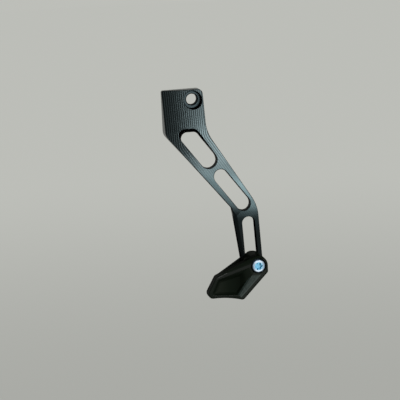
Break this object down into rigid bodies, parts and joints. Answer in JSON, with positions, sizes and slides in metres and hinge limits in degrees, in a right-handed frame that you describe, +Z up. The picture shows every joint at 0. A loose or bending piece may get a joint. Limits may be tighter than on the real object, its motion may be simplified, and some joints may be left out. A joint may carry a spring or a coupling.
{
  "type": "bicycle chain guide",
  "caption": "Black upper chain guide: a slim milled arm with open windows, bolted to the frame, holding a dished guide that slides in a slot and clamps with a bolt.",
  "frame": {"origin": "on the frame bolt's axis, at the flat face that meets the bicycle frame", "axes": "+X towards the front of the bicycle, -Y outboard and towards the viewer, +Z up"},
  "size_m": [0.0434, 0.035, 0.1022],
  "materials": {
    "arm_black": "black anodised, fine milling lines down the outboard face",
    "guide_black": "moulded black, slightly satin",
    "bolt_silver": "bright silver with a cool tint",
    "insert_brass": "plain"
  },
  "bodies": {
    "bracket": {"mount_arm": "arm_black"},
    "guide": {"outer_guide_plate": "guide_black", "inner_guide_plate": "guide_black", "guide_bolt": "bolt_silver", "threaded_insert": "insert_brass"}
  },
  "joints": [
    {"name": "height_slide", "type": "slide", "parent": "bracket", "child": "guide", "axis": [-0.0497, 0, 0.9988], "range_m": [0, 0.016]}
  ]
}
